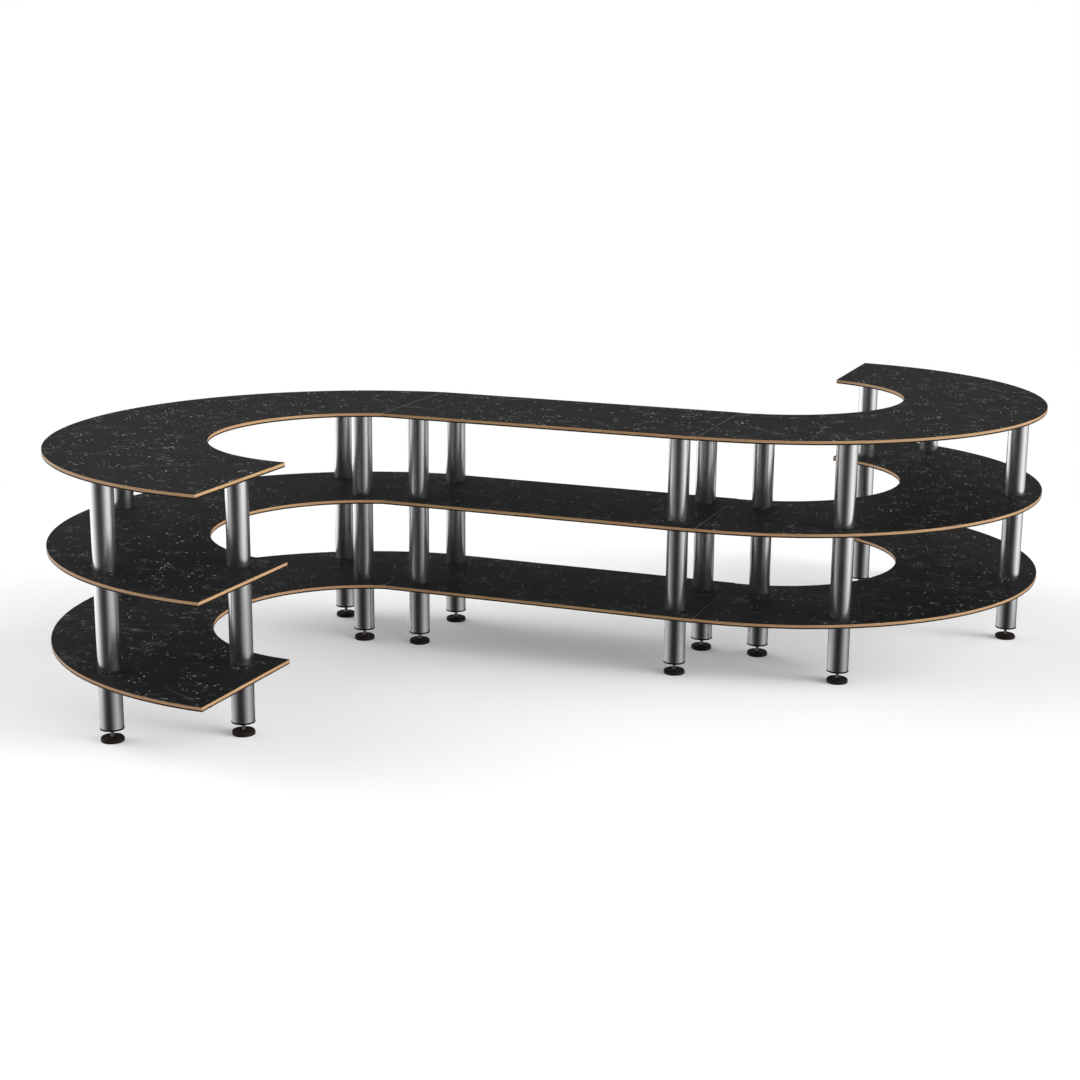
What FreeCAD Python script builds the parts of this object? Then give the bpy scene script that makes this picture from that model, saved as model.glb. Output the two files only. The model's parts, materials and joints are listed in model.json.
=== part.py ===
import FreeCAD, Part
import math
import os
from types import SimpleNamespace

import Sketcher

# An S-shaped buffet table: a straight module between two curled ones, each with three
# shelves on tube legs that end in levelling feet. The floor is at z = 0, the straight
# module runs along X, and the origin is the middle of the whole plan.

# Driving dimensions, in millimetres and, for the one angle, degrees.
SIZES = {
    "straight_length": 1200,
    "shelf_depth": 550,
    "ring_inner_radius": 500,
    "short_end_offset": 137.5,
    "seam_gap": 1,
    "top_height": 890,
    "tier_pitch": 325,
    "board_thickness": 16,
    "outer_leg_inset": 95,
    "outer_leg_angle": 60,
    "inner_leg_inset": 110,
    "ring_end_inset": 120,
    "straight_end_inset": 95,
    "straight_edge_inset": 105,
    "tube_diameter": 76,
    "tube_wall": 1.5,
    "end_plate": 8,
    "stud_diameter": 10,
    "stud_overrun": 2,
    "stud_hole_clearance": 0.25,
    "bolt_hole_cover": 4,
    "bolt_hole_spare": 1,
    "thread_clearance": 0.05,
    "foot_height": 42,
    "cap_lip_height": 5,
    "cap_lip_overhang": 1,
    "cap_plug_length": 20,
    "cap_clearance": 0.1,
    "stem_diameter": 12,
    "stem_clearance": 0.1,
    "stem_reserve": 35,
    "stem_tip_chamfer": 1.5,
    "pad_diameter": 76,
    "pad_thickness": 16,
    "pad_bevel_width": 6,
    "pad_bevel_height": 4,
    "socket_depth": 9,
    "link_plate_length": 240,
    "link_plate_width": 80,
    "link_plate_thickness": 3,
}

TIERS = ("top", "middle", "bottom")


class Formula:
    """A value worked out from the sheet: its expression as text, and its present number."""

    def __init__(self, text, number):
        self.text = text
        self.number = number

    def __add__(self, other):
        other = as_formula(other)
        return Formula(f"({self.text} + {other.text})", self.number + other.number)

    def __sub__(self, other):
        other = as_formula(other)
        return Formula(f"({self.text} - {other.text})", self.number - other.number)

    def __mul__(self, other):
        other = as_formula(other)
        return Formula(f"({self.text} * {other.text})", self.number * other.number)

    def __truediv__(self, other):
        other = as_formula(other)
        return Formula(f"({self.text} / {other.text})", self.number / other.number)

    def __neg__(self):
        return Formula(f"(0 - {self.text})", -self.number)


def as_formula(value):
    if isinstance(value, Formula):
        return value
    return Formula(str(value), value)


def root(value):
    return Formula(f"sqrt({value.text})", math.sqrt(value.number))


def cosine(angle):
    return Formula(f"cos({angle.text})", math.cos(math.radians(angle.number)))


def sine(angle):
    return Formula(f"sin({angle.text})", math.sin(math.radians(angle.number)))


doc = FreeCAD.newDocument("buffet_table")
sheet = doc.addObject("Spreadsheet::Sheet", "sizes")
for row, (alias, value) in enumerate(SIZES.items(), start=1):
    sheet.set(f"A{row}", alias)
    sheet.set(f"B{row}", str(value))
    sheet.setAlias(f"B{row}", alias)
doc.recompute()
size = SimpleNamespace(**{alias: Formula(f"sizes.{alias}", float(sheet.get(alias))) for alias in SIZES})


# Sketch and feature helpers

def new_body(name):
    body = doc.addObject("PartDesign::Body", name)
    body.Label = name
    body.AllowCompound = True
    return body


def new_sketch(body, plane, offset):
    """A sketch on one of the body's own planes, moved along that plane's normal."""
    sketch = body.newObject("Sketcher::SketchObject", "Sketch")
    origin = [feature for feature in body.Origin.OriginFeatures if feature.Role == plane]
    sketch.AttachmentSupport = (origin[0], [""])
    sketch.MapMode = "FlatFace"
    sketch.setExpression("AttachmentOffset.Base.z", as_formula(offset).text)
    return sketch


def bind(sketch, kind, *where, to):
    """Adds a dimension to the sketch and ties it to a formula."""
    index = sketch.addConstraint(Sketcher.Constraint(kind, *where, to.number))
    sketch.setExpression(f"Constraints[{index}]", to.text)


def place_point(sketch, geometry, point, x, y):
    """Dimensions a point of the sketch from its origin."""
    bind(sketch, "DistanceX", -1, 1, geometry, point, to=as_formula(x))
    bind(sketch, "DistanceY", -1, 1, geometry, point, to=as_formula(y))


def circles(sketch, centres, diameter):
    for x, y in centres:
        middle = FreeCAD.Vector(x.number, y.number, 0)
        circle = Part.Circle(middle, FreeCAD.Vector(0, 0, 1), diameter.number / 2)
        index = sketch.addGeometry(circle)
        place_point(sketch, index, 3, x, y)
        bind(sketch, "Diameter", index, to=diameter)


def closed_profile(sketch, points):
    """A closed chain of straight lines with every corner dimensioned from the origin."""
    corners = [FreeCAD.Vector(as_formula(x).number, as_formula(y).number, 0) for x, y in points]
    lines = [
        sketch.addGeometry(Part.LineSegment(start, end))
        for start, end in zip(corners, corners[1:] + corners[:1])
    ]
    for line, line_before, (x, y) in zip(lines, lines[-1:] + lines[:-1], points):
        sketch.addConstraint(Sketcher.Constraint("Coincident", line_before, 2, line, 1))
        place_point(sketch, line, 1, x, y)


def rectangle(sketch, x, y, width, length):
    """A rectangle about a centre, its width along the sketch's first axis."""
    left, right = x - width / 2, x + width / 2
    front, back = y - length / 2, y + length / 2
    closed_profile(sketch, [(left, front), (right, front), (right, back), (left, back)])


def pad(body, sketch, length):
    feature = body.newObject("PartDesign::Pad", "Pad")
    feature.Profile = sketch
    feature.setExpression("Length", length.text)
    return feature


def pocket(body, sketch, length, along_normal=True):
    """Cuts the sketch's regions to a depth, along the sketch's normal or against it."""
    feature = body.newObject("PartDesign::Pocket", "Pocket")
    feature.Profile = sketch
    feature.Reversed = along_normal
    feature.setExpression("Length", length.text)
    return feature


def revolve(body, sketch):
    feature = body.newObject("PartDesign::Revolution", "Revolution")
    feature.Profile = sketch
    feature.ReferenceAxis = (sketch, ["V_Axis"])
    feature.Angle = 360
    return feature


def move(body, x=0, y=0, z=0):
    for axis, value in zip("xyz", (x, y, z)):
        body.setExpression(f"Placement.Base.{axis}", as_formula(value).text)


# Plan of the three modules. A curled module is a half ring whose one end is cut through
# the ring's centre and whose other end stops short of it, where the ring is as deep as
# the straight shelf.

half_length = size.straight_length / 2
half_depth = size.shelf_depth / 2
inner_radius = size.ring_inner_radius
short = size.short_end_offset
short_inner_reach = root(inner_radius * inner_radius - short * short)
short_outer_reach = short_inner_reach + size.shelf_depth
outer_radius = root(short_outer_reach * short_outer_reach + short * short)

plan_x = -(short / 2)
plan_y = -((size.shelf_depth - outer_radius + inner_radius) / 4)
left_x = plan_x - half_length - size.seam_gap + short
left_y = plan_y - half_depth - short_inner_reach
right_x = plan_x + half_length + size.seam_gap
right_y = plan_y + (outer_radius + inner_radius) / 2


def ring_legs(x, y, side):
    """The five legs of a half ring: three near its outer edge, one near each inner corner."""
    outer = outer_radius - size.outer_leg_inset
    inner = inner_radius + size.inner_leg_inset
    across = outer * cosine(size.outer_leg_angle)
    along = outer * sine(size.outer_leg_angle)
    full_end = size.ring_end_inset
    short_end = short + size.ring_end_inset
    return [
        (x + across * side, y - along),
        (x + outer * side, y),
        (x + across * side, y + along),
        (x + full_end * side, y - root(inner * inner - full_end * full_end)),
        (x + short_end * side, y + root(inner * inner - short_end * short_end)),
    ]


def straight_legs():
    across = half_length - size.straight_end_inset
    along = half_depth - size.straight_edge_inset
    return [(plan_x + across * i, plan_y + along * j) for i in (-1, 1) for j in (-1, 1)]


LEGS = {
    "left": ring_legs(left_x, left_y, -1),
    "centre": straight_legs(),
    "right": ring_legs(right_x, right_y, 1),
}
ALL_LEGS = [leg for legs in LEGS.values() for leg in legs]


# Heights

shelf_bottom = {
    tier: size.top_height - size.tier_pitch * level - size.board_thickness
    for level, tier in enumerate(TIERS)
}
tube_length = size.tier_pitch - size.board_thickness
lower_tube_bottom = size.foot_height + size.cap_lip_height
stud_reach = size.end_plate + size.stud_overrun
bolt_hole_depth = size.board_thickness - size.bolt_hole_cover


# Shelf boards

def ring_outline(sketch, x, y, side):
    """Two arcs about the ring's centre, joined by the full end below and the short end above."""
    normal = FreeCAD.Vector(0, 0, 1)
    centre = FreeCAD.Vector(x.number, y.number, 0)
    full_angle = -math.pi / 2
    for radius, reach in ((outer_radius, short_outer_reach), (inner_radius, short_inner_reach)):
        short_angle = math.atan2(reach.number, short.number * side)
        ends = (full_angle, short_angle) if side > 0 else (short_angle, full_angle)
        arc = sketch.addGeometry(Part.ArcOfCircle(Part.Circle(centre, normal, radius.number), *ends))
        place_point(sketch, arc, 3, x, y)
        bind(sketch, "Radius", arc, to=radius)
    full_point, short_point = (1, 2) if side > 0 else (2, 1)
    for point, end_x in ((full_point, x), (short_point, x + short * side)):
        outer_end = FreeCAD.Vector(sketch.getPoint(0, point))
        inner_end = FreeCAD.Vector(sketch.getPoint(1, point))
        line = sketch.addGeometry(Part.LineSegment(outer_end, inner_end))
        sketch.addConstraint(Sketcher.Constraint("Coincident", line, 1, 0, point))
        sketch.addConstraint(Sketcher.Constraint("Coincident", line, 2, 1, point))
        sketch.addConstraint(Sketcher.Constraint("Vertical", line))
        bind(sketch, "DistanceX", -1, 1, line, 1, to=end_x)


def leg_holes(body, legs, tier):
    """Clear holes for the studs, or blind ones for the bolts under the table top."""
    sketch = new_sketch(body, "XY_Plane", 0)
    if tier == "top":
        circles(sketch, legs, size.stud_diameter + size.thread_clearance * 2)
        pocket(body, sketch, bolt_hole_depth)
    else:
        circles(sketch, legs, size.stud_diameter + size.stud_hole_clearance * 2)
        pocket(body, sketch, size.board_thickness)


def shelf_board(module, tier):
    body = new_body(f"{module}_{tier}_shelf")
    outline = new_sketch(body, "XY_Plane", 0)
    if module == "left":
        ring_outline(outline, left_x, left_y, -1)
    elif module == "right":
        ring_outline(outline, right_x, right_y, 1)
    else:
        rectangle(outline, plan_x, plan_y, size.straight_length, size.shelf_depth)
    pad(body, outline, size.board_thickness)
    leg_holes(body, LEGS[module], tier)
    move(body, z=shelf_bottom[tier])
    return body


# Leg tubes, with a tapped plate welded into each end that meets a shelf

def leg_tubes(name, legs, bottom, length, plate_below):
    body = new_body(name)
    outside = new_sketch(body, "XY_Plane", 0)
    circles(outside, legs, size.tube_diameter)
    pad(body, outside, length)
    cavity = new_sketch(body, "XY_Plane", plate_below)
    circles(cavity, legs, size.tube_diameter - size.tube_wall * 2)
    pocket(body, cavity, length - size.end_plate - plate_below)
    tapped = new_sketch(body, "XY_Plane", 0)
    circles(tapped, legs, size.stud_diameter + size.thread_clearance * 2)
    pocket(body, tapped, length)
    move(body, z=bottom)
    return body


# Fasteners, link plates and caps, each kind in one group

def shelf_studs():
    """Double-ended studs through the lower two shelves, from one tube's plate to the next."""
    body = new_body("shelf_studs")
    for tier in ("middle", "bottom"):
        sketch = new_sketch(body, "XY_Plane", shelf_bottom[tier] - stud_reach)
        circles(sketch, ALL_LEGS, size.stud_diameter)
        pad(body, sketch, size.board_thickness + stud_reach * 2)
    return body


def top_bolts():
    """Hanger bolts that hold the table top to the highest tubes."""
    body = new_body("top_bolts")
    sketch = new_sketch(body, "XY_Plane", shelf_bottom["top"] - stud_reach)
    circles(sketch, ALL_LEGS, size.stud_diameter)
    pad(body, sketch, stud_reach + bolt_hole_depth - size.bolt_hole_spare)
    return body


def link_plates():
    """Flat plates under every shelf that tie the modules together across their seams."""
    body = new_body("link_plates")
    for tier in TIERS:
        sketch = new_sketch(body, "XY_Plane", shelf_bottom[tier] - size.link_plate_thickness)
        for side in (-1, 1):
            seam = plan_x + (half_length + size.seam_gap / 2) * side
            rectangle(sketch, seam, plan_y, size.link_plate_width, size.link_plate_length)
        pad(body, sketch, size.link_plate_thickness)
    return body


def foot_caps():
    """Push-in end caps: a lip under the tube's rim, a plug inside it, a thread for the stem."""
    body = new_body("foot_caps")
    lip = new_sketch(body, "XY_Plane", 0)
    circles(lip, ALL_LEGS, size.tube_diameter + size.cap_lip_overhang * 2)
    pad(body, lip, size.cap_lip_height)
    plug = new_sketch(body, "XY_Plane", size.cap_lip_height)
    circles(plug, ALL_LEGS, size.tube_diameter - size.tube_wall * 2 - size.cap_clearance * 2)
    pad(body, plug, size.cap_plug_length)
    thread = new_sketch(body, "XY_Plane", 0)
    circles(thread, ALL_LEGS, size.stem_diameter + size.stem_clearance * 2)
    pocket(body, thread, size.cap_lip_height + size.cap_plug_length)
    move(body, z=size.foot_height)
    return body


# Levelling feet: a pad on the floor, and a threaded stem that turns in its socket

socket_floor = size.pad_thickness - size.socket_depth


def foot_pad(name, x, y):
    body = new_body(name)
    radius = size.pad_diameter / 2
    socket = size.stem_diameter / 2 + size.stem_clearance
    sketch = new_sketch(body, "XZ_Plane", 0)
    closed_profile(sketch, [
        (0, 0),
        (radius, 0),
        (radius, size.pad_thickness - size.pad_bevel_height),
        (radius - size.pad_bevel_width, size.pad_thickness),
        (socket, size.pad_thickness),
        (socket, socket_floor),
        (0, socket_floor),
    ])
    revolve(body, sketch)
    move(body, x, y)
    return body


def foot_stem(name, x, y):
    body = new_body(name)
    radius = size.stem_diameter / 2
    tip = size.foot_height + size.cap_lip_height + size.cap_plug_length + size.stem_reserve
    sketch = new_sketch(body, "XZ_Plane", 0)
    closed_profile(sketch, [
        (0, socket_floor),
        (radius, socket_floor),
        (radius, tip - size.stem_tip_chamfer),
        (radius - size.stem_tip_chamfer, tip),
        (0, tip),
    ])
    revolve(body, sketch)
    move(body, x, y)
    return body


# Assembly

nodes = [shelf_board(module, tier) for module in LEGS for tier in TIERS]
for module, legs in LEGS.items():
    for tube, below in (("upper", "middle"), ("middle", "bottom")):
        seat = shelf_bottom[below] + size.board_thickness
        nodes.append(leg_tubes(f"{module}_{tube}_tubes", legs, seat, tube_length, size.end_plate))
    lower_length = shelf_bottom["bottom"] - lower_tube_bottom
    nodes.append(leg_tubes(f"{module}_lower_tubes", legs, lower_tube_bottom, lower_length, as_formula(0)))
nodes += [shelf_studs(), top_bolts(), link_plates(), foot_caps()]
for number, (x, y) in enumerate(ALL_LEGS, start=1):
    nodes.append(foot_pad(f"foot_{number:02d}_pad", x, y))
    nodes.append(foot_stem(f"foot_{number:02d}_stem", x, y))

doc.recompute()
for item in doc.Objects:
    if "Invalid" in item.State or "Error" in item.State:
        raise RuntimeError(f"{item.Label} failed: {item.State}")
for node in nodes:
    if node.Shape.isNull() or not node.Shape.isValid():
        raise RuntimeError(f"{node.Label} has no valid shape")

os.makedirs("parts", exist_ok=True)
for node in nodes:
    node.Shape.exportStep(f"parts/{node.Label}.step")
    print(f"{node.Label}: {len(node.Shape.Solids)} solids, {node.Shape.Volume / 1000:.1f} cm3")
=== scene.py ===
import json
import math

import bpy
import numpy as np
from bpy.props import FloatProperty, FloatVectorProperty, IntProperty, PointerProperty
from mathutils import Matrix, Vector

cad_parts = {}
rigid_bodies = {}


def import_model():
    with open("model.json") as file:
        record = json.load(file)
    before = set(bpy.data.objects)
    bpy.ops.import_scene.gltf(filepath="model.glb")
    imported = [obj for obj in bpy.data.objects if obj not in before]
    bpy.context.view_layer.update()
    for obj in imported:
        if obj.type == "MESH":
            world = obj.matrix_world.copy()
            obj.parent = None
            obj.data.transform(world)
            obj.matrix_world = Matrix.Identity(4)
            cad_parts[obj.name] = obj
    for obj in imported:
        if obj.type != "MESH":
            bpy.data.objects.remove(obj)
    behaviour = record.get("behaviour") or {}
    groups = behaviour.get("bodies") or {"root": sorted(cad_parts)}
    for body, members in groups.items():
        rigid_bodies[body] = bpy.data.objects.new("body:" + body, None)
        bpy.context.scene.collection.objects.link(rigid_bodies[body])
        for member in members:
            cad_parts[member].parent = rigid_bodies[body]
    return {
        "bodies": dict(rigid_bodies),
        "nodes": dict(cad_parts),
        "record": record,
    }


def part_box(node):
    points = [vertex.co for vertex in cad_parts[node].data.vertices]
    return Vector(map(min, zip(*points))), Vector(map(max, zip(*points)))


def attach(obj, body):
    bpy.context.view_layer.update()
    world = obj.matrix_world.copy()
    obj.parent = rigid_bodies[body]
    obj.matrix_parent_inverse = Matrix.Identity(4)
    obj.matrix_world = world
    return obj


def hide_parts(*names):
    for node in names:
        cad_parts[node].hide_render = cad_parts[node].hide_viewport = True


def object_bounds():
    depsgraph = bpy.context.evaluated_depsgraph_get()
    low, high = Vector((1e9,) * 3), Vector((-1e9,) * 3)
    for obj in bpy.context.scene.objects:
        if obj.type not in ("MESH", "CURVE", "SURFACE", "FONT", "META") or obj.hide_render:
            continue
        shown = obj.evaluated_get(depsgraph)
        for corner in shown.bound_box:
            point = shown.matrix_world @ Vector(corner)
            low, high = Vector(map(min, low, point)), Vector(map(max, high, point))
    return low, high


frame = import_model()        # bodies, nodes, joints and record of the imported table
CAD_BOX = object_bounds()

bl_info = {
    "name": "Buffet table",
    "version": (1, 0, 0),
    "blender": (4, 5, 0),
    "location": "3D View > Sidebar > Buffet",
    "description": "Finishes an S-shaped three-tier buffet table in laminate, wood, steel and plastic",
    "category": "Object",
}

# Names of the table's modules, tiers and tube rows, as the frame has them
MODULES = ("left", "centre", "right")
TIERS = ("top", "middle", "bottom")
TUBE_ROWS = ("upper", "middle", "lower")
FEET = sorted(name[len("foot_"):-len("_pad")] for name in frame["nodes"] if name.endswith("_pad"))


# Measures taken from the frame, in metres

def plan_middle(node):
    """The middle of a node's box, seen from above."""
    low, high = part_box(node)
    return np.array((low + high) / 2)[:2]


LEG_CENTRES = np.array([plan_middle(f"foot_{foot}_pad") for foot in FEET])
STRAIGHT_LOW, STRAIGHT_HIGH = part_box("centre_top_shelf")
SHELF_DEPTH = STRAIGHT_HIGH.y - STRAIGHT_LOW.y
SEAM_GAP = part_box("right_top_shelf")[0].x - STRAIGHT_HIGH.x
SEAMS = np.array([STRAIGHT_LOW.x - SEAM_GAP / 2, STRAIGHT_HIGH.x + SEAM_GAP / 2])
# How near to the middle of a seam the edge of a board counts as part of it
SEAM_REACH = 0.003
THREAD_PITCH = 2 * math.pi / frame["record"]["behaviour"]["couplings"][0]["ratio"]


def legs_inside(node):
    """The leg centres that lie inside a node's box, seen from above."""
    low, high = (np.array(corner)[:2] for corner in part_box(node))
    inside = np.all((LEG_CENTRES > low) & (LEG_CENTRES < high), axis=1)
    return LEG_CENTRES[inside]


# Settings that a user would change

def setting(kind, **options):
    """A maker of settings of one kind, from a name, a description and a default."""
    def make(name, description, default):
        return kind(name=name, description=description, default=default, **options)

    return make


length = setting(FloatProperty, subtype="DISTANCE", precision=5)
share = setting(FloatProperty, min=0, max=1, subtype="FACTOR")
strength = setting(FloatProperty, min=0)
colour = setting(FloatVectorProperty, min=0, max=1, subtype="COLOR")
count = setting(IntProperty, min=3)


class BoardSettings(bpy.types.PropertyGroup):
    """Layers, edges and colours of the shelf boards."""

    laminate: length("Laminate", "Height of the dark line along the top of the edge", 0.0015)
    backing: length("Backing", "Height of the black line along the bottom of the edge", 0.0052)
    ease: length("Eased edge", "Width of the small bevel on the upper and lower arris", 0.0008)
    arc_steps: count("Arc steps", "Segments along a curled board's long edges", 168)
    straight_steps: count("Straight steps", "Segments along the straight board's long edges", 24)
    across_steps: count("Cross steps", "Segments across a board", 8)
    black: colour("Black", "Ground of the marble look", (0.0078, 0.0078, 0.0080))
    charcoal: colour("Charcoal", "Cloudy lighter ground of the marble look", (0.0126, 0.0126, 0.0128))
    fleck: colour("Fleck", "Short bright flecks", (0.88, 0.88, 0.865))
    wisp: colour("Wisp", "Longer soft streaks and veins", (0.16, 0.16, 0.16))
    # Painted highlight: this pale colour on the eased arris at the seams stands in for the light that arris
    # catches
    cut: colour("Laminate cut", "Pale arris of the laminate where two boards meet", (0.17, 0.17, 0.165))
    fleck_spacing: length("Fleck spacing", "Mean distance between possible flecks", 0.021)
    wisp_spacing: length("Wisp spacing", "Mean distance between possible streaks", 0.085)
    satin: share("Laminate roughness", "Roughness of the laminate", 0.50)
    wood_light: colour("Light wood", "Pale grain of the wood edge", (0.435, 0.27, 0.14))
    wood_dark: colour("Dark wood", "Darker grain of the wood edge", (0.305, 0.165, 0.074))
    backing_black: colour("Backing black", "Colour of the black sheet", (0.009, 0.008, 0.0075))


class LegSettings(bpy.types.PropertyGroup):
    """Tubes, their end plates and the metal finishes."""

    wall: length("Tube wall", "Wall of a leg tube", 0.0015)
    end_plate: length("End plate", "Plate welded into a tube's end", 0.008)
    tapped_hole: length("Tapped hole", "Diameter of the hole in an end plate", 0.0101)
    rim_chamfer: length("Rim chamfer", "Bevel on a tube's rim", 0.0005)
    round_steps: count("Round steps", "Segments round a tube", 96)
    steel: colour("Steel", "Satin stainless steel", (0.66, 0.66, 0.67))
    steel_satin: share("Steel roughness", "Roughness of the satin tubes", 0.20)
    zinc: colour("Zinc", "Zinc plate on small parts", (0.62, 0.62, 0.61))
    screw_head: length("Screw head", "Diameter of a link plate's screw head", 0.009)
    screw_rise: length("Screw rise", "Height of a link plate's screw head", 0.0022)
    plate_corner: length("Plate corner", "Corner radius of a link plate", 0.008)


class FootSettings(bpy.types.PropertyGroup):
    """Caps, pads and threaded stems of the levelling feet."""

    cap_round: length("Cap rounding", "Rounding of the cap's lip", 0.0008)
    plug_gap: length("Plug gap", "Play between the cap's plug and the tube", 0.0001)
    stem_gap: length("Stem gap", "Play round the stem", 0.0001)
    rim_width: length("Pad rim", "Width of the pad's rounded rim", 0.006)
    rim_height: length("Pad rim height", "Height of the pad's rounded rim", 0.0080)
    boss_width: length("Boss", "Radius of the raised boss round the stem", 0.013)
    dish: length("Dish", "How far the pad's top is dished round the boss", 0.0012)
    sole_round: length("Sole rounding", "Rounding of the pad's lower edge", 0.0030)
    stem_chamfer: length("Stem chamfer", "Bevel at both ends of the stem", 0.0012)
    thread_depth: length("Thread depth", "Depth of the stem's thread", 0.0010)
    stem_steps: count("Stem steps", "Segments round a stem", 24)
    rows_per_turn: count("Rows in a turn", "Rows of faces in one turn of the thread", 6)
    cap_black: colour("Cap black", "Moulded plastic of the caps", (0.004, 0.004, 0.004))
    pad_brown: colour("Pad brown", "Moulded plastic of the pads", (0.013, 0.0085, 0.0065))


class StageSettings(bpy.types.PropertyGroup):
    """Camera, floor and studio light."""

    camera_place: FloatVectorProperty(
        name="Camera", description="Where the camera stands", subtype="XYZ", unit="LENGTH",
        default=(2.37597, -6.48341, 2.03332),
    )
    camera_turn: FloatVectorProperty(
        name="Camera turn", description="Tilt down, roll and turn of the camera", subtype="EULER",
        default=(0.2304, 0.0080, 0.3721),
    )
    lens: FloatProperty(
        name="Lens", description="Focal length on a 36 mm sensor", default=63.49, unit="CAMERA",
    )
    floor_white: colour("Floor", "Pale floor, as the camera sees it", (0.92, 0.92, 0.92))
    floor_bounce: colour("Floor bounce", "Floor tone that lights the table from below", (0.60, 0.60, 0.60))
    floor_lift: share("Floor lift", "White that the camera sees in the floor's shadows", 0.18)
    # Painted shadow: how much of the studio the steel still sees through the floor near the legs
    floor_shade: share(
        "Floor shade", "What the floor near the legs leaves of the studio in the steel", 0.44,
    )
    floor_reach: length("Floor reach", "Radius of the floor", 60.0)
    fade_start: length("Fade start", "Where the floor starts to turn into the white background", 1.2)
    fade_end: length("Fade end", "Where the floor is as white as the background", 4.2)
    ceiling: share("Ceiling", "Brightness of the upper studio in reflections", 0.21)
    dome: strength("Dome", "Soft light from the front, the back and above", 0.20)
    dome_sides: strength("Dome sides", "Soft light from low down on the left and the right", 6.4)
    key: strength("Key", "Strength of the broad light from the right", 1.2)
    key_from: FloatVectorProperty(
        name="Key from", description="Direction in which the broad light stands", subtype="DIRECTION",
        default=(0.95, 0.05, 0.30),
    )
    key_spread: FloatProperty(
        name="Key spread", description="Angle over which the broad light is spread",
        default=math.radians(24), subtype="ANGLE",
    )


# Mesh helpers

# Edges where faces meet at more than this angle stay sharp
SHARP_ANGLE = math.radians(30)


def quads(ids):
    """Quads between neighbouring rows and columns of a grid of vertex numbers."""
    corners = (ids[:-1, :-1], ids[:-1, 1:], ids[1:, 1:], ids[1:, :-1])
    return np.stack(corners, axis=-1).reshape(-1, 4)


def closed_columns(grid):
    """The grid with its first column repeated at the end, so that it closes on itself."""
    return np.concatenate([grid, grid[:, :1]], axis=1)


def closed_rows(grid):
    """The grid with its first row repeated at the end."""
    return np.concatenate([grid, grid[:1]], axis=0)


def grid_ids(rows, columns):
    """Vertex numbers of a grid, row by row."""
    return np.arange(rows * columns).reshape(rows, columns)


def capped_sides(ids):
    """Faces round a stack of closed loops of vertex numbers, with a flat face at each end."""
    return quads(closed_columns(ids)).tolist() + [ids[0, ::-1].tolist(), ids[-1].tolist()]


def full_turn(steps):
    """Equal steps of the angle round a circle."""
    return np.arange(steps) * 2 * np.pi / steps


def round_points(radius, angle, height):
    """Points (radius cos a, radius sin a, height) for the angles a."""
    parts = np.broadcast_arrays(radius * np.cos(angle), radius * np.sin(angle), height)
    return np.stack(parts, axis=-1)


def new_piece(name, points, faces, materials, body, slot, nodes=(), face_materials=None, uv=None):
    """Makes a mesh object from points and faces, and has it ride a body in place of CAD nodes."""
    mesh = bpy.data.meshes.new(name)
    mesh.from_pydata(points.tolist(), [], faces)
    for material in materials:
        mesh.materials.append(material)
    if face_materials is not None:
        mesh.polygons.foreach_set("material_index", face_materials.astype(np.int32))
    if uv is not None:
        layer = mesh.uv_layers.new(name="surface")
        layer.data.foreach_set("uv", uv.astype(np.float32).ravel())
    mesh.shade_smooth()
    mesh.set_sharp_from_angle(angle=SHARP_ANGLE)
    if mesh.validate():
        raise RuntimeError(f"{name} has faulty faces")
    piece = bpy.data.objects.new(name, mesh)
    bpy.context.scene.collection.objects.link(piece)
    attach(piece, body)
    if nodes:
        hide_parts(*nodes)
    return piece


def lathe(profile, steps, closed=False):
    """A profile of (radius, height) pairs turned about the upright axis.

    A closed profile joins its last pair to its first, and an open one gets a flat face at
    each end.
    """
    radius, height = np.array(profile).T
    points = round_points(radius[:, None], full_turn(steps), height[:, None])
    ids = grid_ids(radius.size, steps)
    faces = quads(closed_columns(closed_rows(ids))).tolist() if closed else capped_sides(ids)
    return points.reshape(-1, 3), faces


def repeated(points, faces, places):
    """Copies of one shape at several places, as one list of points and one of faces."""
    places = np.asarray(places, dtype=float)
    if places.shape[1] == 2:
        places = np.column_stack([places, np.zeros(len(places))])
    all_points = (points[None] + places[:, None]).reshape(-1, 3)
    all_faces = [
        [corner + number * len(points) for corner in face]
        for number in range(len(places))
        for face in faces
    ]
    return all_points, all_faces


def arc_profile(centre, size, start, end, steps):
    """Points on an ellipse about a centre, from one angle to another in degrees."""
    angle = np.radians(np.linspace(start, end, steps))
    radius = centre[0] + size[0] * np.cos(angle)
    height = centre[1] + size[1] * np.sin(angle)
    return list(zip(radius, height))


# Material helpers

# Sockets of a mix node that take and give colours
MIX_FIRST, MIX_SECOND, MIX_RESULT = 6, 7, 2


def add_node(tree, kind, inputs=None, **options):
    """Adds a node, sets its options, and links or sets its inputs by name or number."""
    node = tree.nodes.new(kind)
    for name, value in options.items():
        setattr(node, name, value)
    for key, value in (inputs or {}).items():
        if isinstance(value, bpy.types.NodeSocket):
            tree.links.new(value, node.inputs[key])
        else:
            node.inputs[key].default_value = value
    return node


def math_node(tree, operation, *values):
    return add_node(tree, "ShaderNodeMath", dict(enumerate(values)), operation=operation).outputs[0]


def vector_node(tree, operation, *values):
    return add_node(tree, "ShaderNodeVectorMath", dict(enumerate(values)), operation=operation).outputs[0]


def measure_node(tree, operation, *values):
    """One number from vectors, such as a length or a dot product."""
    node = add_node(tree, "ShaderNodeVectorMath", dict(enumerate(values)), operation=operation)
    return node.outputs["Value"]


def mix_shader(tree, factor, first, second):
    return add_node(tree, "ShaderNodeMixShader", {0: factor, 1: first, 2: second}).outputs[0]


def noise(tree, vector, scale, detail=2.0, dimensions="3D"):
    inputs = {"Vector": vector, "Scale": scale, "Detail": detail}
    node = add_node(tree, "ShaderNodeTexNoise", inputs, noise_dimensions=dimensions)
    return node.outputs[0]


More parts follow.
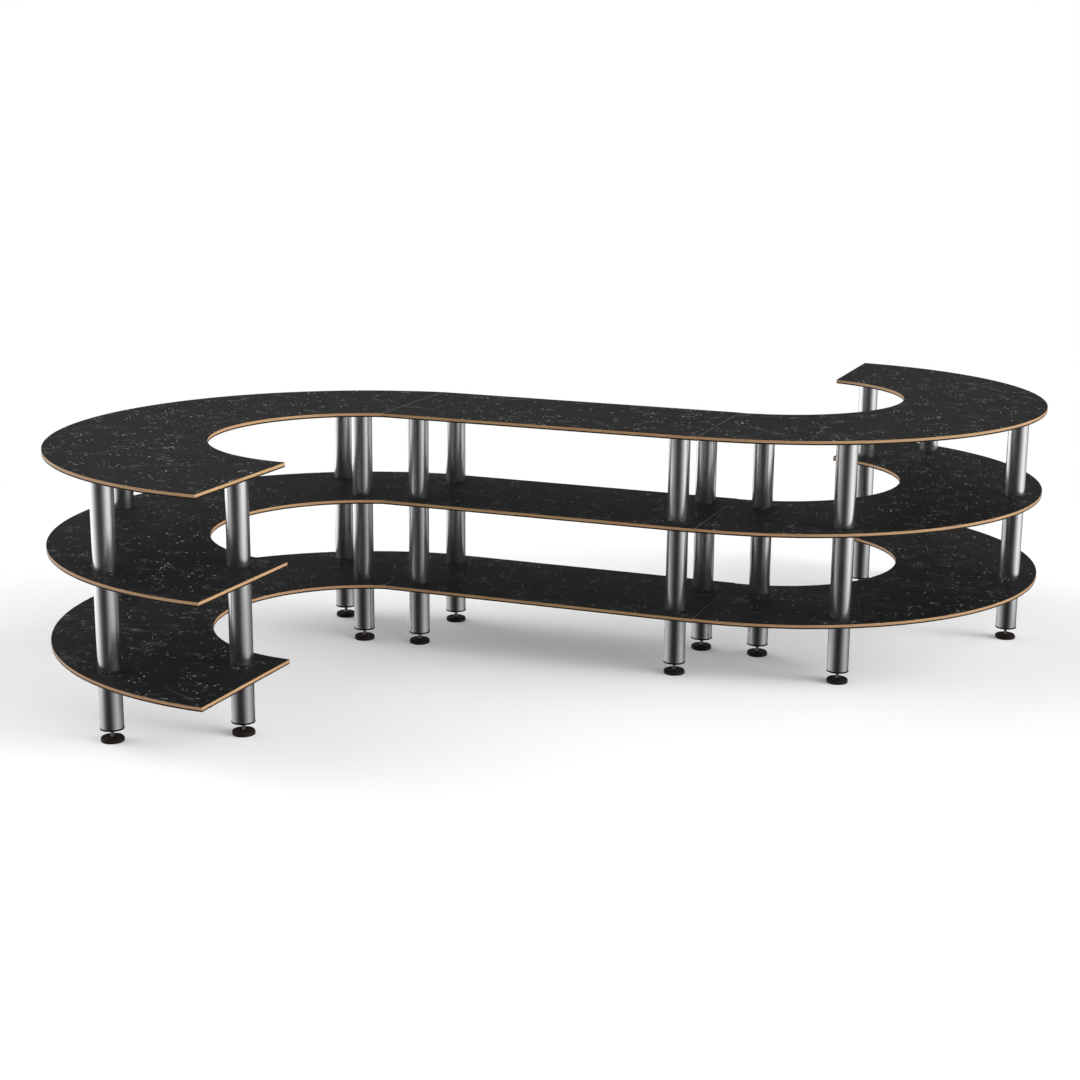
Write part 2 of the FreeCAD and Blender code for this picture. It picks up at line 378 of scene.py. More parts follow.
def remap(tree, value, low, high, to_low=0.0, to_high=1.0):
    """The value's stretch from low to high as a stretch from to_low to to_high, held beyond it."""
    inputs = {"Value": value, "From Min": low, "From Max": high, "To Min": to_low, "To Max": to_high}
    return add_node(tree, "ShaderNodeMapRange", inputs).outputs[0]


def blend(tree, factor, first, second):
    """A colour between two, each a link or a colour."""
    node = add_node(tree, "ShaderNodeMix", {"Factor": factor}, data_type="RGBA")
    for number, value in ((MIX_FIRST, first), (MIX_SECOND, second)):
        if isinstance(value, bpy.types.NodeSocket):
            tree.links.new(value, node.inputs[number])
        else:
            node.inputs[number].default_value = (*value, 1)
    return node.outputs[MIX_RESULT]


def new_material(name, **values):
    """A material with a principled shader whose plain sockets are set here."""
    material = bpy.data.materials.new(name)
    material.use_nodes = True
    shader = material.node_tree.nodes["Principled BSDF"]
    for socket, value in values.items():
        shader.inputs[socket.replace("_", " ").title().replace("Ior", "IOR")].default_value = value
    return material, material.node_tree, shader


def object_position(tree):
    return add_node(tree, "ShaderNodeTexCoord").outputs["Object"]


def add_bump(tree, shader, height, strength_value, distance):
    inputs = {"Height": height, "Strength": strength_value, "Distance": distance}
    bump = add_node(tree, "ShaderNodeBump", inputs)
    tree.links.new(bump.outputs[0], shader.inputs["Normal"])


# Finishes

# The stretch of a smooth noise over which a finish goes from one tone to another
NOISE_BAND = (0.3, 0.7)
# Shift of the marble pattern along x and y for each metre of height
TIER_SHIFT = (7.3, 4.1)
# Turn of the veins' pattern in plan, and its scale along and across them
VEIN_TURN = (0, 0, math.radians(-24))
VEIN_STRETCH = (0.42, 1.0, 1.0)
# The marble's marks: half length and half width in metres, and the soft share of their edge
FLECK = (0.0085, 0.0010, 0.2)
DOT = (0.0045, 0.0010, 0.3)
WISP = (0.018, 0.0050, 0.8)
# Smallest mark, as a share of the largest
SMALLEST_MARK = 0.35
# From poor to rich patches: the noise that tells them apart, and the share of places with a fleck
PATCH_BAND = (0.35, 0.65)
FLECK_SHARE = (0.36, 0.80)
# Share of the places with a fleck outside the clusters, and of those with a wisp
LONE_SHARE = 0.04
WISP_SHARE = 0.16
# Spacing and share of the dots, as parts of those of the flecks
DOT_SPACING = 0.6
DOT_SHARE = 0.4
# How far veins and wisps hide the ground
VEIN_COVER = 0.45
WISP_COVER = 0.40
# How far the laminate's roughness goes below and above its setting, and that of other finishes
SATIN_PLAY = (-0.04, 0.06)
ROUGHNESS_PLAY = (-0.06, 0.06)
# Scale of the wood's grain and pores along the edge and up it, and of the steel's hairlines
GRAIN_SCALE = (7.0, 420.0, 1.0)
PORE_SCALE = (60.0, 1500.0, 1.0)
HAIRLINE_SCALE = (900.0, 900.0, 14.0)
# Tone of the steel in a hairline, and how much rougher a hairline is
HAIRLINE_TONE = 0.94
HAIRLINE_ROUGHNESS = 0.07
# How much finer the surface grain of a mottled finish is than its patches
GRAIN_FINENESS = 14


def tier_position(tree):
    """The place in plan, shifted with height so that no two tiers carry the same pattern."""
    axes = add_node(tree, "ShaderNodeSeparateXYZ", {0: object_position(tree)}).outputs
    x = math_node(tree, "MULTIPLY_ADD", axes[2], TIER_SHIFT[0], axes[0])
    y = math_node(tree, "MULTIPLY_ADD", axes[2], TIER_SHIFT[1], axes[1])
    return add_node(tree, "ShaderNodeCombineXYZ", {0: x, 1: y}).outputs[0]


def streaks(tree, position, spacing, mark, density):
    """One short streak in some of the cells of a scatter, each turned its own way.

    The vector from the cell's seed is turned by the cell's first random number. The streak is
    where the ellipse length of that vector is under the cell's own size, its second random
    number, which is also its brightness, and where the third one is under the density.
    """
    half_length, half_width, softness = mark
    inputs = {"Vector": position, "Scale": 1 / spacing}
    cells = add_node(tree, "ShaderNodeTexVoronoi", inputs, voronoi_dimensions="2D").outputs
    random = add_node(tree, "ShaderNodeSeparateColor", {0: cells["Color"]}).outputs
    from_seed = vector_node(tree, "SUBTRACT", position, cells["Position"])
    angle = math_node(tree, "MULTIPLY", random[0], 2 * math.pi)
    inputs = {"Vector": from_seed, "Angle": angle}
    turned = add_node(tree, "ShaderNodeVectorRotate", inputs, rotation_type="Z_AXIS").outputs[0]
    scaled = vector_node(tree, "MULTIPLY", turned, (1 / half_length, 1 / half_width, 0))
    reach = measure_node(tree, "LENGTH", scaled)
    own_size = remap(tree, random[1], 0, 1, SMALLEST_MARK, 1.0)
    inside = remap(tree, math_node(tree, "DIVIDE", reach, own_size), 1 - softness, 1, own_size, 0)
    chosen = math_node(tree, "LESS_THAN", random[2], density)
    return math_node(tree, "MULTIPLY", inside, chosen)


def wandering(tree, position, scale, reach):
    """The position, moved about by a smooth noise of the given scale and reach."""
    inputs = {"Vector": position, "Scale": scale, "Detail": 2.0}
    wander = add_node(tree, "ShaderNodeTexNoise", inputs, noise_dimensions="2D").outputs["Color"]
    return vector_node(tree, "MULTIPLY_ADD", wander, (reach, reach, 0), position)


def veins(tree, position, scale, width):
    """Thin wandering lines where a smooth noise passes its middle value."""
    level = noise(tree, position, scale, detail=3.0, dimensions="2D")
    away = math_node(tree, "ABSOLUTE", math_node(tree, "SUBTRACT", level, 0.5))
    return remap(tree, away, 0, width, 1, 0)


def marble_laminate(look):
    """Black marble-look laminate: clouds, thin veins, soft wisps and clusters of bright flecks."""
    material, tree, shader = new_material("marble_laminate", ior=1.22)
    position = tier_position(tree)
    bent = wandering(tree, position, scale=9.0, reach=0.03)
    curled = wandering(tree, position, scale=48.0, reach=0.009)
    inputs = {"Vector": bent, "Rotation": VEIN_TURN, "Scale": VEIN_STRETCH}
    drawn_out = add_node(tree, "ShaderNodeMapping", inputs).outputs[0]

    clumps = noise(tree, position, scale=12.0, detail=2.0, dimensions="2D")
    patches = noise(tree, position, scale=3.0, detail=2.0, dimensions="2D")
    in_cluster = remap(tree, clumps, low=0.52, high=0.68)
    density = math_node(
        tree, "MULTIPLY_ADD", in_cluster, remap(tree, patches, *PATCH_BAND, *FLECK_SHARE), LONE_SHARE,
    )
    dot_density = math_node(tree, "MULTIPLY", density, DOT_SHARE)
    flecks = streaks(tree, curled, look.fleck_spacing, FLECK, density)
    dots = streaks(tree, curled, look.fleck_spacing * DOT_SPACING, DOT, dot_density)
    wisps = streaks(tree, bent, look.wisp_spacing, WISP, WISP_SHARE)
    long_veins = math_node(
        tree, "MULTIPLY", veins(tree, drawn_out, scale=3.4, width=0.007),
        remap(tree, noise(tree, position, scale=5.0, detail=2.0), low=0.44, high=0.60),
    )
    short_veins = math_node(
        tree, "MULTIPLY", veins(tree, drawn_out, scale=12.0, width=0.020),
        remap(tree, noise(tree, position, scale=13.0, detail=1.0), low=0.54, high=0.64),
    )
    lines = math_node(tree, "MAXIMUM", long_veins, short_veins)

    clouds = noise(tree, position, scale=22.0, detail=4.0)
    ground = blend(tree, clouds, look.black, look.charcoal)
    veined = blend(tree, math_node(tree, "MULTIPLY", lines, VEIN_COVER), ground, look.wisp)
    wisped = blend(tree, math_node(tree, "MULTIPLY", wisps, WISP_COVER), veined, look.wisp)
    bright = math_node(tree, "MAXIMUM", flecks, dots)
    tree.links.new(blend(tree, bright, wisped, look.fleck), shader.inputs["Base Color"])

    grain = noise(tree, position, scale=260.0, detail=3.0)
    rough = remap(tree, grain, *NOISE_BAND, *(look.satin + play for play in SATIN_PLAY))
    tree.links.new(rough, shader.inputs["Roughness"])
    add_bump(tree, shader, grain, strength_value=0.08, distance=0.0004)
    return material


def wood_edge(look):
    """Pale wood edge: long grain along the edge on the board's own UV, with fine pores."""
    material, tree, shader = new_material("wood_edge", roughness=0.55, ior=1.4)
    surface = add_node(tree, "ShaderNodeUVMap", uv_map="surface").outputs[0]
    along = vector_node(tree, "MULTIPLY", surface, GRAIN_SCALE)
    grain = noise(tree, along, scale=1.0, detail=5.0, dimensions="2D")
    pitted = vector_node(tree, "MULTIPLY", surface, PORE_SCALE)
    pores = noise(tree, pitted, scale=1.0, detail=2.0, dimensions="2D")
    dark_grain = remap(tree, grain, low=0.35, high=0.70, to_high=0.75)
    dark_pores = remap(tree, pores, low=0.58, high=0.75, to_high=0.35)
    tone = math_node(tree, "ADD", dark_grain, dark_pores)
    tree.links.new(blend(tree, tone, look.wood_light, look.wood_dark), shader.inputs["Base Color"])
    add_bump(tree, shader, pores, strength_value=0.15, distance=0.0002)
    return material


def shaded(tint, factor):
    return tuple(channel * factor for channel in tint)


def mottled(name, tint, other_tone, scale, roughness, bump, **values):
    """A finish whose colour and roughness wander a little, with a fine grain on its surface."""
    material, tree, shader = new_material(name, **values)
    position = object_position(tree)
    patches = noise(tree, position, scale, detail=4.0)
    grain = noise(tree, position, scale * GRAIN_FINENESS, detail=2.0)
    colours = blend(tree, patches, tint, shaded(tint, other_tone))
    tree.links.new(colours, shader.inputs["Base Color"])
    rough = remap(tree, patches, *NOISE_BAND, *(roughness + play for play in ROUGHNESS_PLAY))
    tree.links.new(rough, shader.inputs["Roughness"])
    add_bump(tree, shader, grain, strength_value=bump, distance=0.0003)
    return material


def black_backing(look):
    return mottled(
        "black_backing", look.backing_black, other_tone=1.6, scale=60.0, roughness=0.6, bump=0.2, ior=1.25,
    )


# Painted highlight: a pale finish for the arrises at the seams, in place of the light they catch
def laminate_cut(look):
    return mottled(
        "laminate_cut", look.cut, other_tone=0.7, scale=40.0, roughness=0.6, bump=0.2, ior=1.3,
    )


def zinc_plate(look):
    """The zinc finish, made once and shared by all the small steel parts."""
    return bpy.data.materials.get("zinc_plate") or mottled(
        "zinc_plate", look.zinc, other_tone=0.78, scale=90.0, roughness=0.42, bump=0.05, metallic=1.0,
    )


def cap_plastic(look):
    return mottled(
        "cap_plastic", look.cap_black, other_tone=1.5, scale=120.0, roughness=0.60, bump=0.15, ior=1.1,
    )


def pad_plastic(look):
    return mottled(
        "pad_plastic", look.pad_brown, other_tone=1.5, scale=110.0, roughness=0.50, bump=0.25, ior=1.3,
    )


def satin_steel(look):
    """Satin stainless: hairlines along the tube, drawn from a noise that is long in height."""
    material, tree, shader = new_material("satin_steel", metallic=1.0)
    position = object_position(tree)
    stretched = vector_node(tree, "MULTIPLY", position, HAIRLINE_SCALE)
    hairline = noise(tree, stretched, scale=1.0, detail=3.0)
    cloud = noise(tree, position, scale=9.0, detail=3.0)
    lightness = remap(tree, hairline, *NOISE_BAND)
    tint = blend(tree, lightness, shaded(look.steel, HAIRLINE_TONE), look.steel)
    tree.links.new(tint, shader.inputs["Base Color"])
    clouded = remap(tree, cloud, *NOISE_BAND, to_low=-0.05, to_high=0.01)
    spread = math_node(tree, "MULTIPLY_ADD", hairline, HAIRLINE_ROUGHNESS, clouded)
    rough = math_node(tree, "ADD", spread, look.steel_satin)
    tree.links.new(rough, shader.inputs["Roughness"])
    add_bump(tree, shader, hairline, strength_value=0.03, distance=0.0002)
    return material


# Shelf boards

def straight_edges(inset, steps):
    """The straight board's front and back edge at an inset, run from right to left."""
    x = np.linspace(STRAIGHT_HIGH.x - inset, STRAIGHT_LOW.x + inset, steps)
    front = np.full(steps, STRAIGHT_LOW.y + inset)
    back = np.full(steps, STRAIGHT_HIGH.y - inset)
    return np.stack([x, front], axis=-1), np.stack([x, back], axis=-1)


def ring_edges(module):
    """A function that gives a curled board's inner and outer edge at an inset.

    Each edge is an arc about the ring's centre. It runs between the full end, which is cut
    through the centre, and the short end, which stops at an offset from it, so at an inset d
    its ends are at the arc cosine of d, or of the offset plus d, over the arc's radius. The
    outer radius follows from the board's reach in y, which is the radius plus the root of the
    squared radius less the squared offset.
    """
    low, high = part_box(f"{module}_top_shelf")
    side = -1 if module == "left" else 1
    centre_x = high.x if module == "left" else low.x
    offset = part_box("left_top_shelf")[1].x - (STRAIGHT_LOW.x - SEAM_GAP)
    reach = high.y - low.y
    outer = (reach ** 2 + offset ** 2) / (2 * reach)
    centre_y = low.y + outer
    inner = math.hypot(reach - outer - SHELF_DEPTH, offset)

    def edges(inset, steps):
        pair = []
        for radius in (inner + inset, outer - inset):
            full_end = -math.acos(inset / radius)
            short_end = math.acos((offset + inset) / radius)
            angle = np.linspace(full_end, short_end, steps)[::side]
            x = np.clip(centre_x + side * radius * np.cos(angle), low.x, high.x)
            y = centre_y + radius * np.sin(angle)
            pair.append(np.stack([x, y], axis=-1))
        return pair

    return edges


# Finishes of a board, by their number in its list of materials
# The fourth is a painted highlight: the seam arrises coloured pale for the light they catch
MARBLE, WOOD, BACKING, SEAM_HIGHLIGHT = range(4)


def edge_profile(board, low, high):
    """Inset, height and finish of each step up a board's edge: backing, wood, laminate."""
    return [
        (board.ease, low, BACKING),
        (0.0, low + board.ease, BACKING),
        (0.0, low + board.backing, WOOD),
        (0.0, high - board.laminate, BACKING),
        (0.0, high - board.ease, MARBLE),
        (board.ease, high, MARBLE),
    ]


def rim(grid):
    """The border of a grid, counter-clockwise: outer edge, last end, inner edge, first end."""
    return np.concatenate([grid[:, -1], grid[-1, -2:0:-1], grid[::-1, 0], grid[0, 1:-1]])


def board_mesh(edges, steps, across, profile):
    """A board from a plan and an edge profile.

    The plan at an inset is ruled between its two long edges. The edge profile carries the
    plan's border up from the underside to the top, and the ruled grid closes both.
    """
    def plan(inset, height):
        inner, outer = edges(inset, steps)
        part = np.linspace(0, 1, across)[None, :, None]
        flat = inner[:, None] * (1 - part) + outer[:, None] * part
        return np.concatenate([flat, np.full((steps, across, 1), height)], axis=-1)

    sheets = [plan(inset, height) for inset, height, finish in profile]
    wall = np.stack([rim(sheet) for sheet in sheets])
    levels, around = wall.shape[:2]
    wall_ids = grid_ids(levels, around)
    wall_faces = quads(closed_columns(wall_ids))

    points = [wall.reshape(-1, 3)]
    faces = [wall_faces]
    stretch = np.linalg.norm(np.diff(closed_columns(wall[-1:])[0], axis=0), axis=-1)
    run = np.concatenate([[0], np.cumsum(stretch)])
    wall_uv = np.stack(np.broadcast_arrays(run[None, :], wall[:, :1, 2]), axis=-1).reshape(-1, 2)
    uv = [wall_uv[quads(grid_ids(levels, around + 1))]]
    bands = [finish for inset, height, finish in profile[:-1]]
    wall_finishes = np.repeat(bands, around).reshape(-1, around)
    middle_x = (wall[-1, :, 0] + np.roll(wall[-1, :, 0], -1)) / 2
    at_seam = np.abs(middle_x[:, None] - SEAMS).min(axis=1) < SEAM_REACH
    # The top arris along each seam gets the pale painted highlight
    wall_finishes[-1, at_seam] = SEAM_HIGHLIGHT
    finishes = [wall_finishes.ravel()]

    used = wall_ids.size
    for level, turn in ((0, -1), (levels - 1, 1)):
        sheet = sheets[level]
        ids = np.zeros((steps, across), dtype=int)
        inside = grid_ids(steps - 2, across - 2)
        ids[1:-1, 1:-1] = used + inside
        border = wall_ids[level]
        ids[:, -1] = border[:steps]
        ids[-1, -2:0:-1] = border[steps:steps + across - 2]
        ids[::-1, 0] = border[steps + across - 2:2 * steps + across - 2]
        ids[0, 1:-1] = border[2 * steps + across - 2:]
        used += inside.size
        points.append(sheet[1:-1, 1:-1].reshape(-1, 3))
        sheet_faces = quads(ids)[:, ::turn]
        faces.append(sheet_faces)
        flat_faces = quads(grid_ids(steps, across))[:, ::turn]
        uv.append(sheet[..., :2].reshape(-1, 2)[flat_faces])
        finishes.append(np.full(len(sheet_faces), profile[level][2]))
    return (
        np.concatenate(points), np.concatenate(faces).tolist(),
        np.concatenate(finishes), np.concatenate(uv),
    )


class BUFFET_OT_shelf_boards(bpy.types.Operator):
    """Lay the nine shelf boards, with marble-look tops, wood edges and black backing"""

    bl_idname = "buffet.shelf_boards"
    bl_label = "Shelf boards"

    def execute(self, context):
        board = context.scene.buffet_boards
        materials = [marble_laminate(board), wood_edge(board), black_backing(board), laminate_cut(board)]
        for module in MODULES:
            straight = module == "centre"
            edges = straight_edges if straight else ring_edges(module)
            steps = board.straight_steps if straight else board.arc_steps
            for tier in TIERS:
                node = f"{module}_{tier}_shelf"
                low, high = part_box(node)
                points, faces, finishes, uv = board_mesh(
                    edges, steps, board.across_steps, edge_profile(board, low.z, high.z),
                )
                new_piece(
                    f"{module}_{tier}_board", points, faces, materials, "table", "shelf_board",
                    [node], finishes, uv,
                )
        return {"FINISHED"}


# Legs

def tube_profile(leg, radius, low, high, plate_below):
    """The cut through a tube's wall and end plates, as a closed profile."""
    hole = leg.tapped_hole / 2
    chamfer = leg.rim_chamfer
    inside = radius - leg.wall
    outside = [
        (radius - chamfer, low), (radius, low + chamfer),
        (radius, high - chamfer), (radius - chamfer, high),
    ]
    top_plate = [(hole, high), (hole, high - leg.end_plate), (inside, high - leg.end_plate)]
    if plate_below:
        bottom = [(inside, low + leg.end_plate), (hole, low + leg.end_plate), (hole, low)]
    else:
        bottom = [(inside, low)]
    return outside + top_plate + bottom


class BUFFET_OT_leg_tubes(bpy.types.Operator):
    """Turn the satin steel tubes of the legs, one piece for each module and row"""

    bl_idname = "buffet.leg_tubes"
    bl_label = "Leg tubes"

    def execute(self, context):
        leg = context.scene.buffet_legs
        steel = satin_steel(leg)
        for module in MODULES:
            for row in TUBE_ROWS:
                node = f"{module}_{row}_tubes"
                low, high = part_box(node)
                places = legs_inside(node)
                radius = places[:, 0].min() - low.x
                profile = tube_profile(leg, radius, low.z, high.z, row != "lower")
                points, faces = repeated(*lathe(profile, leg.round_steps, closed=True), places)
                new_piece(
                    f"{module}_{row}_steel_tubes", points, faces, [steel], "table", "leg_tube", [node],
                )
        return {"FINISHED"}


# Link plates and fasteners

# Bevel of a link plate as a share of its thickness
PLATE_BEVEL = 1 / 6
# Where the screws sit, as shares of a link plate's half width and half length
SCREW_PLACE = (0.5, 0.78)


def seam_places():
    """The middle of each link plate's upper face: under every shelf, across both seams."""
    middle = (STRAIGHT_LOW.y + STRAIGHT_HIGH.y) / 2
    undersides = [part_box(f"centre_{tier}_shelf")[0].z for tier in TIERS]
    return np.array([(x, middle, z) for z in undersides for x in SEAMS])


def plate_mesh(half_width, half_length, thickness, corner, bevel, steps=9):
    """A plate: an outline of four quarter circles and straight sides, carried over a bevelled edge."""
    def outline(inset):
        loop = []
        for quarter, (x, y) in enumerate(((1, 1), (-1, 1), (-1, -1), (1, -1))):
            centre = (x * (half_width - corner), y * (half_length - corner))
            radius = (corner - inset, corner - inset)
            loop += arc_profile(centre, radius, quarter * 90, quarter * 90 + 90, steps)
        return loop

    levels = ((bevel, -thickness), (0.0, bevel - thickness), (0.0, 0.0))
    points = np.stack([
        np.column_stack([outline(inset), np.full(4 * steps, height)]) for inset, height in levels
    ])
    return points.reshape(-1, 3), capped_sides(grid_ids(*points.shape[:2]))


def screw_mesh(radius, rise, rings=12, steps=48):
    """A round screw head that faces down, with a cross recess.

    Its depth below the plate is the rise times the square root of one minus the squared
    share of the radius, less the recess where the point lies in one arm of the cross. The
    value used for one is a little larger, so that the root holds at the rim.
    """
    innermost = 0.04
    arm_width, arm_slope = 0.16, 0.06
    arm_reach, end_slope = 0.62, 0.10
    recess_depth = 0.55
    full = 1.0001
    part = np.linspace(1, innermost, rings)[:, None]
    angle = full_turn(steps)
    x = part * np.cos(angle)
    y = part * np.sin(angle)
    arm = np.minimum(np.abs(x), np.abs(y))
    sides = np.clip((arm_width - arm) / arm_slope, 0, 1)
    recess = sides * np.clip((arm_reach - part) / end_slope, 0, 1)
    depth = rise * (np.sqrt(full - part ** 2) * (1 - recess_depth * recess))
    depth[0] = 0.0
    points = np.stack([radius * x, radius * y, -depth], axis=-1)
    ids = grid_ids(rings, steps)
    faces = quads(closed_columns(ids))[:, ::-1].tolist()
    faces += [ids[0].tolist(), ids[-1, ::-1].tolist()]
    return points.reshape(-1, 3), faces


class BUFFET_OT_link_plates(bpy.types.Operator):
    """Put the link plates and their screws under the seams"""

    bl_idname = "buffet.link_plates"
    bl_label = "Link plates"

    def execute(self, context):
        leg = context.scene.buffet_legs
        zinc = zinc_plate(leg)
        low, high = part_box("link_plates")
        places = seam_places()
        half_width = places[:, 0].min() - low.x
        half_length = (high.y - low.y) / 2
        thickness = places[:, 2].min() - low.z
        bevel = thickness * PLATE_BEVEL
        points, faces = plate_mesh(half_width, half_length, thickness, leg.plate_corner, bevel)
        new_piece(
            "seam_plates", *repeated(points, faces, places), [zinc], "table", "link_plate", ["link_plates"],
        )
        holes = [
            (x * half_width * SCREW_PLACE[0], y * half_length * SCREW_PLACE[1], -thickness)
            for x in (-1, 1) for y in (-1, 0, 1)
        ]
        points, faces = repeated(*screw_mesh(leg.screw_head / 2, leg.screw_rise), holes)
        new_piece("seam_screws", *repeated(points, faces, places), [zinc], "table", "fastener")
        return {"FINISHED"}


class BUFFET_OT_fasteners(bpy.types.Operator):
    """Give the studs and bolts inside the legs their zinc finish"""

    bl_idname = "buffet.fasteners"
    bl_label = "Studs and bolts"

    def execute(self, context):
        zinc = zinc_plate(context.scene.buffet_legs)
        for name in ("shelf_studs", "top_bolts"):
            node = frame["nodes"][name]
            for slot in node.material_slots:
                slot.material = zinc
        return {"FINISHED"}


# Levelling feet

# Share of the dish's depth at the shoulder inside the pad's rim
DISH_SHOULDER = 0.3


class BUFFET_OT_foot_caps(bpy.types.Operator):
    """Mould the black caps at the bottom of the legs"""

    bl_idname = "buffet.foot_caps"
    bl_label = "Foot caps"

    def execute(self, context):
        foot = context.scene.buffet_feet
        leg = context.scene.buffet_legs
        low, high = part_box("foot_caps")
        tube_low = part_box("centre_lower_tubes")[0]
        stem_low, stem_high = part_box(f"foot_{FEET[0]}_stem")
        lip = LEG_CENTRES[:, 0].min() - low.x
        tube = legs_inside("centre_lower_tubes")[:, 0].min() - tube_low.x
        plug = tube - leg.wall - foot.plug_gap
        bore = (stem_high.x - stem_low.x) / 2 + foot.stem_gap
        soft = foot.cap_round
        collar = bore + soft * 2
        profile = [
            (bore, low.z + soft / 2), (collar - soft / 2, low.z + soft / 2), (collar, low.z),
            *arc_profile((lip - soft, low.z + soft), (soft, soft), -90, 0, steps=7),
            *arc_profile((lip - soft / 2, tube_low.z - soft / 2), (soft / 2, soft / 2), 0, 90, steps=5),
            (plug, tube_low.z), (plug, high.z - soft), (plug - soft, high.z), (bore, high.z),
        ]
        points, faces = repeated(*lathe(profile, leg.round_steps, closed=True), LEG_CENTRES)
        new_piece("black_foot_caps", points, faces, [cap_plastic(foot)], "table", "cap", ["foot_caps"])
        return {"FINISHED"}


def thread_mesh(radius, low, high, chamfer, depth, pitch, steps, rows_per_turn):
    """A threaded stem.

    The surface is (r cos a, r sin a, z), where r falls from the stem's radius by the thread's
    depth times a triangle wave of z over the pitch less a over a full turn, which makes a
    right-hand thread. The wave is steepened and cut off, which gives the thread flat crests and
    roots. The radius is also held under a cone at each end.
    """
    steepness, crest = 1.25, 0.1
    rows = int((high - low) / pitch * rows_per_turn)
    z = np.linspace(low, high, rows)[:, None]
    angle = full_turn(steps)
    turn = z / pitch - angle / (2 * np.pi)
    wave = np.abs(2 * (turn - np.floor(turn)) - 1)
    ends = radius - chamfer + np.minimum(z - low, high - z)
    r = np.minimum(radius - depth * np.clip(steepness * wave - crest, 0, 1), ends)
    return round_points(r, angle, z).reshape(-1, 3), capped_sides(grid_ids(rows, steps))


class BUFFET_OT_levelling_feet(bpy.types.Operator):
    """Make the pads and the threaded stems, each on its own moving body"""

    bl_idname = "buffet.levelling_feet"
    bl_label = "Levelling feet"

    def execute(self, context):
        foot = context.scene.buffet_feet
        leg = context.scene.buffet_legs
        plastic = pad_plastic(foot)
        zinc = zinc_plate(leg)
        sole = foot.sole_round
        for number, place in zip(FEET, LEG_CENTRES):
            low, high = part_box(f"foot_{number}_pad")
            stem_low, stem_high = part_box(f"foot_{number}_stem")
            pad_radius = (high.x - low.x) / 2
            stem_radius = (stem_high.x - stem_low.x) / 2
            socket = stem_radius + foot.stem_gap
            rim_middle = (pad_radius - foot.rim_width, high.z - foot.rim_height)
            hollow = high.z - foot.dish
            profile = [
                *arc_profile((pad_radius - sole, low.z + sole), (sole, sole), -90, 0, steps=7),
                *arc_profile(rim_middle, (foot.rim_width, foot.rim_height), 0, 90, steps=11),
                (rim_middle[0] - foot.dish * 2, high.z - foot.dish * DISH_SHOULDER),
                (foot.boss_width + foot.dish * 2, hollow), (foot.boss_width, hollow),
                (foot.boss_width - foot.dish, high.z), (socket, high.z), (socket, stem_low.z),
            ]
            points, faces = repeated(*lathe(profile, leg.round_steps), [place])
            new_piece(
                f"foot_{number}_moulded_pad", points, faces, [plastic], f"pad_{number}", "foot_pad",
                [f"foot_{number}_pad"],
            )
            points, faces = repeated(*thread_mesh(
                stem_radius, stem_low.z, stem_high.z, foot.stem_chamfer, foot.thread_depth,
                THREAD_PITCH, foot.stem_steps, foot.rows_per_turn,
            ), [place])
            new_piece(
                f"foot_{number}_threaded_stem", points, faces, [zinc], f"stem_{number}", "foot_stem",
                [f"foot_{number}_stem"],
            )
        return {"FINISHED"}


# Stage

WHITE = (1, 1, 1, 1)
# Between these shares of its fade the floor stops dimming what the steel reflects
SHADE_BAND = (0.1, 0.7)
# Ray heights between which the studio's walls give way to its ceiling
CEILING_BAND = (-0.02, 0.16)
# Power with which the dome grows brighter to the left and right
SIDE_POWER = 4.0


def floor_material(stage):
    """A pale floor that keeps the shadows and turns into the white background further out.

    Reflected rays pass through it to the studio's walls, dimmed close to the table: a painted shadow of the
    floor in the steel's reflections.
    """
    material, tree, shader = new_material("pale_floor", roughness=0.9)
    shader.inputs["Specular IOR Level"].default_value = 0.0
    path = add_node(tree, "ShaderNodeLightPath").outputs
    seen = path["Is Camera Ray"]
    tree.links.new(blend(tree, seen, stage.floor_bounce, stage.floor_white), shader.inputs["Base Color"])
    shader.inputs["Emission Color"].default_value = WHITE
    tree.links.new(math_node(tree, "MULTIPLY", seen, stage.floor_lift), shader.inputs["Emission Strength"])
    distance = measure_node(tree, "LENGTH", object_position(tree))
    far = add_node(tree, "ShaderNodeMapRange", {
        "Value": distance, "From Min": stage.fade_start, "From Max": stage.fade_end,
    }, interpolation_type="SMOOTHSTEP").outputs[0]
    white = add_node(tree, "ShaderNodeEmission", {"Color": WHITE, "Strength": 1.0}).outputs[0]
    faded = mix_shader(tree, math_node(tree, "MULTIPLY", far, seen), shader.outputs[0], white)
    # Painted shadow in the reflections: less of the studio is let through close to the table
    shade = remap(tree, far, *SHADE_BAND, stage.floor_shade, 1.0)
    through = add_node(tree, "ShaderNodeBsdfTransparent", {"Color": shade}).outputs[0]
    surface = mix_shader(tree, path["Is Glossy Ray"], faded, through)
    tree.links.new(surface, tree.nodes["Material Output"].inputs["Surface"])
    return material


def floor_mesh(reach, rings=6, steps=64):
    """A flat disc: rings whose radius grows with the cube of their number, closed by a small face."""
    radius = reach * (np.arange(1, rings + 1) / rings) ** 3
    points = round_points(radius[:, None], full_turn(steps), 0.0)
    ids = grid_ids(rings, steps)
    return points.reshape(-1, 3), quads(closed_columns(ids))[:, ::-1].tolist() + [ids[0].tolist()]


# What the steel reflects: brightness by the bearing from the camera's side, in degrees to the right
STUDIO_WALLS = (
    (-180, 0.15), (-165, 0.55), (-150, 1.20), (-132, 1.70), (-105, 1.50), (-80, 1.05), (-57, 0.42),
    (-36, 0.10), (-15, 0.050), (0, 0.052), (12, 0.11), (25, 0.30), (45, 0.78), (68, 1.40), (85, 1.25),
    (100, 0.95), (120, 0.62), (145, 0.30), (180, 0.15),
)


def background(tree, tint, brightness):
    return add_node(tree, "ShaderNodeBackground", {"Color": tint, "Strength": brightness}).outputs[0]


